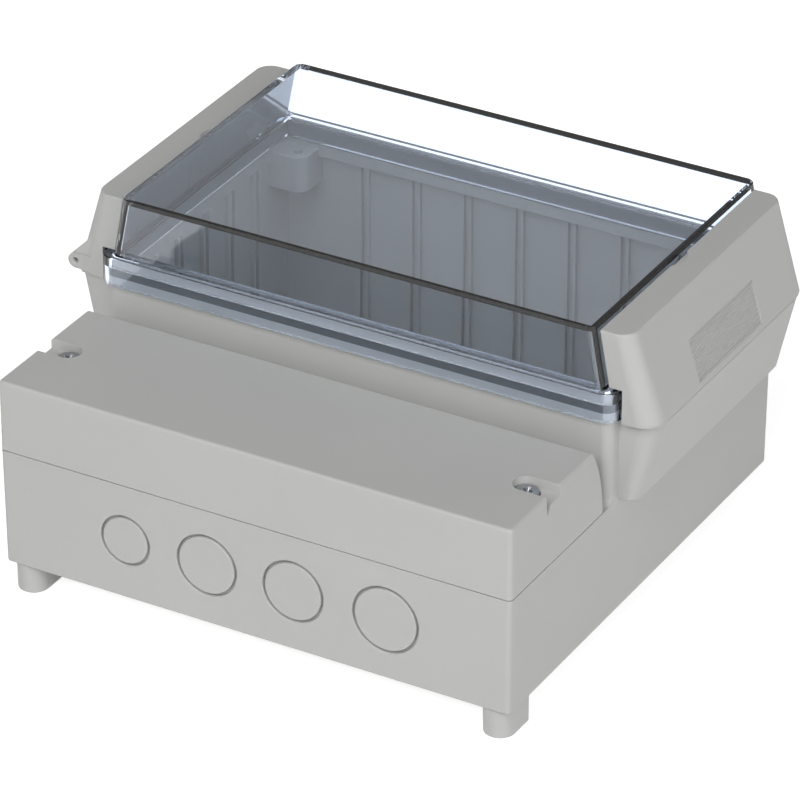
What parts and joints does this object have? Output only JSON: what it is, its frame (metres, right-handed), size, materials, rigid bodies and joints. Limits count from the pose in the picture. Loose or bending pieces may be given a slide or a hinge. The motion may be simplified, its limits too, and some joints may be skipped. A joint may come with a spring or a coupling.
{
  "type": "controller enclosure",
  "caption": "Wall-mount plastic enclosure with a tinted transparent lid, lift-off side covers over its captive screws, sealing ears and a lower terminal cover with cable knock-outs.",
  "frame": {"origin": "under the middle of the enclosure, on the plane of the four feet", "axes": "+X to the right along the longest side, +Y away from the terminal side, +Z out of the wall towards the lid's top"},
  "size_m": [0.1928, 0.16, 0.1028],
  "materials": {
    "housing_plastic": "fine satin texture, light grey",
    "tinted_polycarbonate": "clear, smooth, faint smoke tint",
    "gasket_rubber": "matte black",
    "screw_steel": "zinc plated",
    "washer_nylon": "natural nylon",
    "insert_brass": "knurled, plain inside"
  },
  "bodies": {
    "housing": {"base_housing": "housing_plastic", "lid_gasket": "gasket_rubber", "lid_insert_left_front": "insert_brass", "lid_insert_left_rear": "insert_brass", "lid_insert_right_front": "insert_brass", "lid_insert_right_rear": "insert_brass", "cover_insert_left": "insert_brass", "cover_insert_right": "insert_brass"},
    "lid": {"lid": "tinted_polycarbonate"},
    "terminal_cover": {"terminal_cover": "housing_plastic", "terminal_cover_gasket": "gasket_rubber"},
    "side_cover_right": {"side_cover_right": "housing_plastic"},
    "side_cover_left": {"side_cover_left": "housing_plastic"},
    "lid_screw_left_front": {"lid_screw_left_front": "screw_steel", "lid_screw_washer_left_front": "washer_nylon"},
    "lid_screw_left_rear": {"lid_screw_left_rear": "screw_steel", "lid_screw_washer_left_rear": "washer_nylon"},
    "lid_screw_right_front": {"lid_screw_right_front": "screw_steel", "lid_screw_washer_right_front": "washer_nylon"},
    "lid_screw_right_rear": {"lid_screw_right_rear": "screw_steel", "lid_screw_washer_right_rear": "washer_nylon"},
    "cover_screw_left": {"cover_screw_left": "screw_steel", "cover_screw_washer_left": "washer_nylon"},
    "cover_screw_right": {"cover_screw_right": "screw_steel", "cover_screw_washer_right": "washer_nylon"}
  },
  "joints": [
    {"name": "lid_lift", "type": "slide", "parent": "housing", "child": "lid", "axis": [0, 0, 1], "range_m": [0, 0.06]},
    {"name": "terminal_cover_lift", "type": "slide", "parent": "housing", "child": "terminal_cover", "axis": [0, 0, 1], "range_m": [0, 0.06]},
    {"name": "side_cover_right_lift", "type": "slide", "parent": "lid", "child": "side_cover_right", "axis": [0, 0, 1], "range_m": [0, 0.045]},
    {"name": "side_cover_left_lift", "type": "slide", "parent": "lid", "child": "side_cover_left", "axis": [0, 0, 1], "range_m": [0, 0.045]},
    {"name": "lid_screw_left_front_turn", "type": "hinge", "parent": "lid", "child": "lid_screw_left_front", "pos_m": [-0.08775, -0.0053, 0.0787], "axis": [0, 0, 1], "continuous": true},
    {"name": "lid_screw_left_rear_turn", "type": "hinge", "parent": "lid", "child": "lid_screw_left_rear", "pos_m": [-0.08775, 0.0607, 0.0787], "axis": [0, 0, 1], "continuous": true},
    {"name": "lid_screw_right_front_turn", "type": "hinge", "parent": "lid", "child": "lid_screw_right_front", "pos_m": [0.08775, -0.0053, 0.0787], "axis": [0, 0, 1], "continuous": true},
    {"name": "lid_screw_right_rear_turn", "type": "hinge", "parent": "lid", "child": "lid_screw_right_rear", "pos_m": [0.08775, 0.0607, 0.0787], "axis": [0, 0, 1], "continuous": true},
    {"name": "cover_screw_left_turn", "type": "hinge", "parent": "terminal_cover", "child": "cover_screw_left", "pos_m": [-0.0745, -0.0558, 0.065], "axis": [0, 0, 1], "continuous": true},
    {"name": "cover_screw_right_turn", "type": "hinge", "parent": "terminal_cover", "child": "cover_screw_right", "pos_m": [0.0745, -0.0558, 0.065], "axis": [0, 0, 1], "continuous": true}
  ]
}
